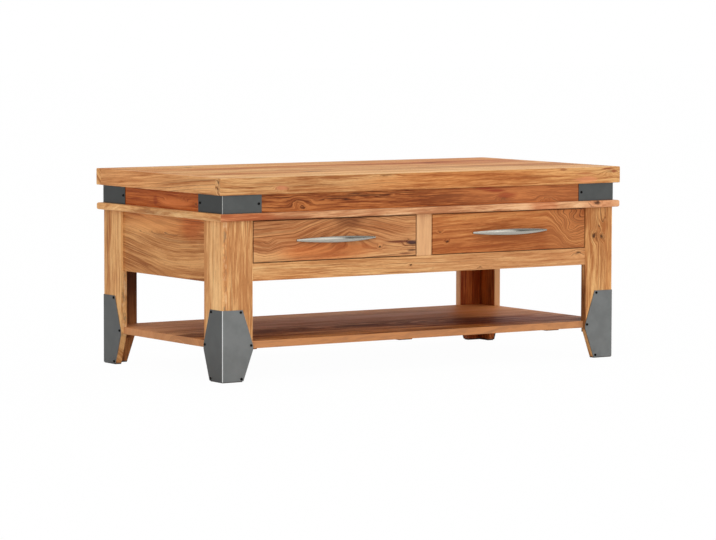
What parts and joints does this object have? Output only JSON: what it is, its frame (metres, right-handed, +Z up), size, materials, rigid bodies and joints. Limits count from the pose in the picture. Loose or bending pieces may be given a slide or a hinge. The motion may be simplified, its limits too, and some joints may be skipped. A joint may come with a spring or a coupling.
{
  "type": "coffee table with drawers",
  "caption": "Low rectangular wooden coffee table with inset sliding drawers, a plank shelf below and folded steel brackets on its corners and feet.",
  "frame": {"origin": "on the floor under the middle of the top", "axes": "+X along the table, -Y the way the drawers open, +Z up"},
  "size_m": [1.1, 0.5575, 0.45],
  "materials": {
    "golden_acacia": "satin lacquer",
    "red_acacia": "satin lacquer",
    "brown_acacia": "satin lacquer",
    "plywood": "sanded, unlacquered",
    "dark_steel": "satin",
    "satin_nickel": "satin",
    "black_screw": "black oxide",
    "zinc_screw": "bright zinc"
  },
  "bodies": {
    "table": {"back_left_corner_bracket": "dark_steel", "back_left_leg_bracket": "dark_steel", "back_left_leg_face": "golden_acacia", "back_left_leg_side": "golden_acacia", "back_panel": "golden_acacia", "back_right_corner_bracket": "dark_steel", "back_right_leg_bracket": "dark_steel", "back_right_leg_face": "golden_acacia", "back_right_leg_side": "golden_acacia", "centre_divider": "golden_acacia", "corner_bracket_screws": "black_screw", "drawer_kickers": "golden_acacia", "drawer_runners": "golden_acacia", "drawer_stops": "golden_acacia", "frieze_back": "red_acacia", "frieze_front": "red_acacia", "frieze_left": "red_acacia", "frieze_right": "red_acacia", "front_left_corner_bracket": "dark_steel", "front_left_leg_bracket": "dark_steel", "front_left_leg_face": "golden_acacia", "front_left_leg_side": "golden_acacia", "front_rail": "golden_acacia", "front_right_corner_bracket": "dark_steel", "front_right_leg_bracket": "dark_steel", "front_right_leg_face": "golden_acacia", "front_right_leg_side": "golden_acacia", "front_stile": "golden_acacia", "ledge_back": "golden_acacia", "ledge_front": "golden_acacia", "ledge_left": "golden_acacia", "ledge_right": "golden_acacia", "left_end_panel": "golden_acacia", "leg_bracket_screws": "black_screw", "right_end_panel": "golden_acacia", "shelf_battens": "brown_acacia", "shelf_corner_blocks": "brown_acacia", "shelf_planks": "brown_acacia", "top_back_edge": "golden_acacia", "top_battens": "golden_acacia", "top_front_edge": "golden_acacia", "top_left_end": "golden_acacia", "top_plank_1": "golden_acacia", "top_plank_2": "golden_acacia", "top_plank_3": "golden_acacia", "top_plank_4": "golden_acacia", "top_plank_5": "golden_acacia", "top_right_end": "golden_acacia"},
    "left_drawer": {"left_drawer_back": "golden_acacia", "left_drawer_bottom": "plywood", "left_drawer_front": "golden_acacia", "left_drawer_handle": "satin_nickel", "left_drawer_handle_screws": "zinc_screw", "left_drawer_sides": "golden_acacia"},
    "right_drawer": {"right_drawer_back": "golden_acacia", "right_drawer_bottom": "plywood", "right_drawer_front": "golden_acacia", "right_drawer_handle": "satin_nickel", "right_drawer_handle_screws": "zinc_screw", "right_drawer_sides": "golden_acacia"}
  },
  "joints": [
    {"name": "left_drawer_slide", "type": "slide", "parent": "table", "child": "left_drawer", "axis": [0, -1, 0], "range_m": [0, 0.3]},
    {"name": "right_drawer_slide", "type": "slide", "parent": "table", "child": "right_drawer", "axis": [0, -1, 0], "range_m": [0, 0.3]}
  ]
}
